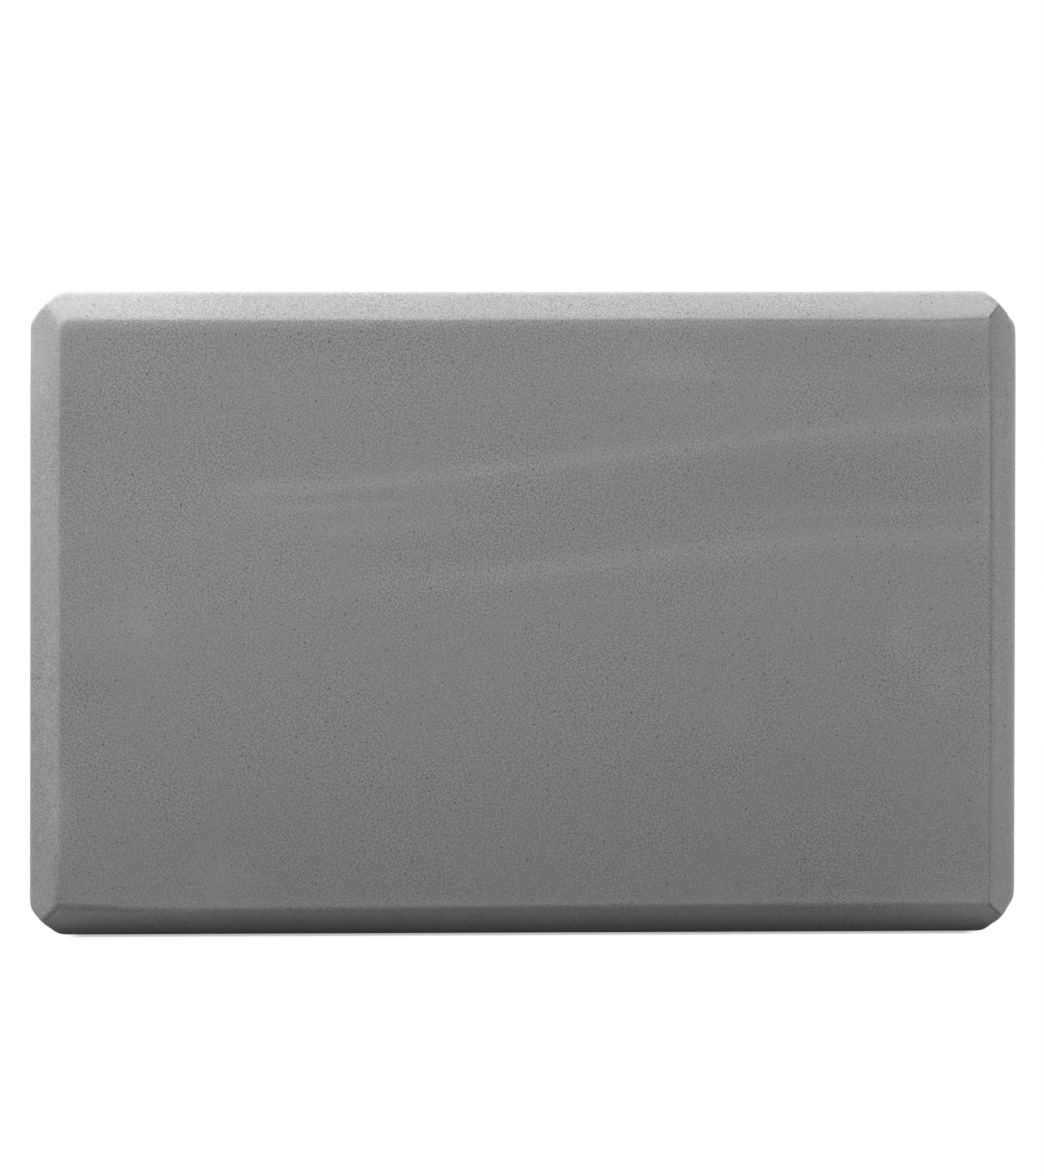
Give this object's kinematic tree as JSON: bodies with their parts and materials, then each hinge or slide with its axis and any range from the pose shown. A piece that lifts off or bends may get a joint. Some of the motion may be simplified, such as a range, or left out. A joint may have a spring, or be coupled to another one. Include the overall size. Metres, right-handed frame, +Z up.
{
  "type": "yoga block",
  "caption": "Rectangular closed-cell foam yoga block with bevelled edges and cut corners, laid or stood on any side to support a hand, foot or hip.",
  "frame": {"origin": "middle of the long narrow side that the block stands on in the picture", "axes": "+X along the block's length, +Y through its thickness towards the rear slab, +Z up along its width"},
  "size_m": [0.23, 0.0762, 0.15],
  "materials": {
    "foam": "matte",
    "adhesive": "satin"
  },
  "bodies": {
    "root": {"front_slab": "foam", "rear_slab": "foam", "bond_film": "adhesive"}
  },
  "joints": []
}
